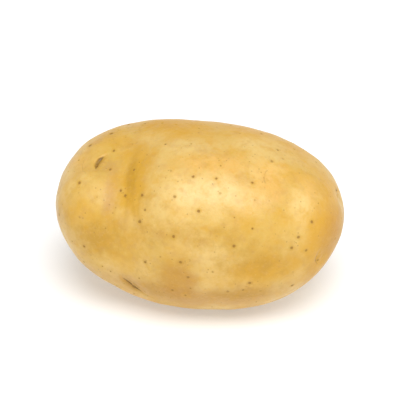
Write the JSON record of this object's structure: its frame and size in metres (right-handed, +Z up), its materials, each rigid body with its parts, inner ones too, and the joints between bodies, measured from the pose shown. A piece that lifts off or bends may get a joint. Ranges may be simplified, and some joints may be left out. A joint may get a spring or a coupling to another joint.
{
  "type": "potato",
  "caption": "Smooth yellow-skinned table potato: an oval tuber with a shallow waist, shallow eyes and a small flat spot that it rests on.",
  "frame": {"origin": "middle of the tuber's footprint, on the surface that it rests on", "axes": "+X along the tuber from the heel to the rose end, +Y across it, +Z up"},
  "size_m": [0.0868, 0.0572, 0.0519],
  "materials": {
    "skin": "satin"
  },
  "bodies": {
    "root": {"potato": "skin"}
  },
  "joints": []
}
